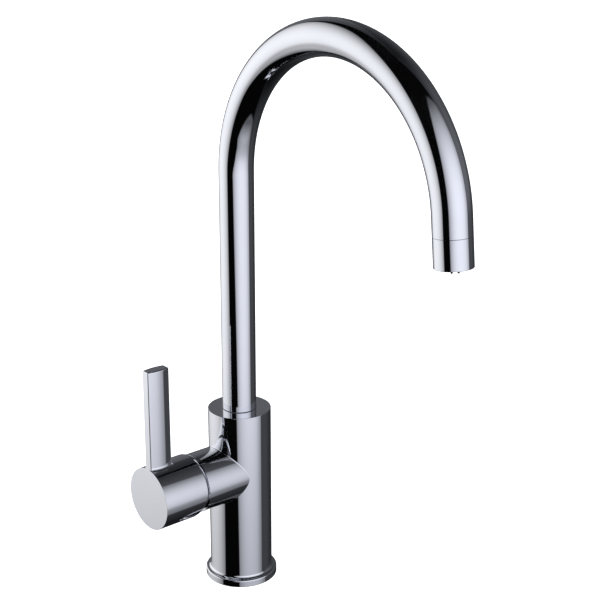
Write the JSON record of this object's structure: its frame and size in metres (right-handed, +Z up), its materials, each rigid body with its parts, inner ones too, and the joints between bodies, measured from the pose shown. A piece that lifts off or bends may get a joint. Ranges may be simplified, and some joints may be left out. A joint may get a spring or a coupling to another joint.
{
  "type": "three way filtered water tap",
  "caption": "Deck-mounted kitchen mixer with a round upright body, a tall swan neck spout that swivels, a side barrel with an upright lever, and a separate inner waterway for filtered water.",
  "frame": {"origin": "centre of the base on the deck plane, on the body's axis", "axes": "+Z up along the body and riser, -Y along the spout's reach towards the user, -X along the side barrel"},
  "size_m": [0.1101, 0.2491, 0.4307],
  "materials": {
    "chrome": "mirror-bright plating over brass",
    "bare_brass": "machined, unplated",
    "black_rubber": "matt",
    "steel": "machined",
    "white_plastic": "moulded acetal",
    "dark_plastic": "moulded, fine matt",
    "ceramic": "lapped alumina"
  },
  "bodies": {
    "tap": {"base_ring": "chrome", "base_gasket": "black_rubber", "tap_body": "chrome", "inlet_block": "bare_brass", "hot_inlet_socket": "bare_brass", "cold_inlet_socket": "bare_brass", "filtered_inlet_socket": "bare_brass", "inlet_block_seal": "black_rubber", "inlet_block_screws": "steel", "spout_retaining_screw": "steel", "spout_lower_bush": "white_plastic", "spout_upper_bush": "dark_plastic", "filtered_tube_seal": "black_rubber", "cartridge_base": "white_plastic", "cartridge_base_seals": "black_rubber", "cartridge_fixed_disc": "ceramic", "cartridge_case": "dark_plastic", "cartridge_nut": "bare_brass", "cover_dome": "chrome"},
    "spout": {"spout_foot": "bare_brass", "spout_o_rings": "black_rubber", "spout_tube": "chrome", "filtered_water_tube": "white_plastic", "outlet_ferrule": "bare_brass", "aerator_sleeve": "chrome", "aerator_gasket": "black_rubber", "aerator_screen": "steel", "aerator_core": "dark_plastic", "filtered_nozzle": "bare_brass"},
    "turret": {"cartridge_turret": "white_plastic", "cartridge_pivot_pin": "steel"},
    "lever": {"handle": "chrome", "cartridge_spindle": "steel", "handle_grub_screw": "steel", "handle_plug": "dark_plastic"},
    "disc_slide": {"cartridge_moving_disc": "ceramic", "cartridge_disc_carrier": "white_plastic"}
  },
  "joints": [
    {"name": "spout_swivel", "type": "hinge", "parent": "tap", "child": "spout", "pos_m": [0, 0, 0.1362], "axis": [0, 0, 1], "continuous": true},
    {"name": "lever_turn", "type": "hinge", "parent": "tap", "child": "turret", "pos_m": [-0.054, 0, 0.0874], "axis": [1, 0, 0], "range_deg": [-50, 50]},
    {"name": "lever_tilt", "type": "hinge", "parent": "turret", "child": "lever", "pos_m": [-0.054, 0, 0.0874], "axis": [0, -1, 0], "range_deg": [0, 20]},
    {"name": "disc_travel", "type": "slide", "parent": "turret", "child": "disc_slide", "axis": [0, 0, 1], "range_m": [0, 0.0043]}
  ],
  "couplings": [
    {"joint": "disc_travel", "follows": "lever_tilt", "m_per_rad": 0.012}
  ]
}
